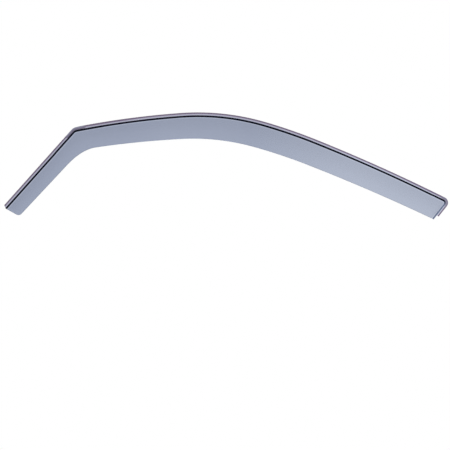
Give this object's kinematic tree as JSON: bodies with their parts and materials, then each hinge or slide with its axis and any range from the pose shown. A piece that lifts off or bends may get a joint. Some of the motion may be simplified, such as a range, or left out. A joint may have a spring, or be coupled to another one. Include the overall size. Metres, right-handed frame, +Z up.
{
  "type": "window rain deflector",
  "caption": "Front door window rain deflector of smoke-tinted acrylic, with a stepped channel flange, an angled front leg and a leaning panel.",
  "frame": {"origin": "inner face of the channel flange, at the middle of its height, at the crown of the roof run", "axes": "+X from the front tip to the rear end, +Z up, -Y outward from the door, +Y in toward the glass"},
  "size_m": [0.8886, 0.0307, 0.2141],
  "materials": {
    "smoke_acrylic": "light smoke blue-grey tinted clear acrylic, polished, with a rubbed free edge"
  },
  "bodies": {
    "root": {"deflector": "smoke_acrylic"}
  },
  "joints": []
}
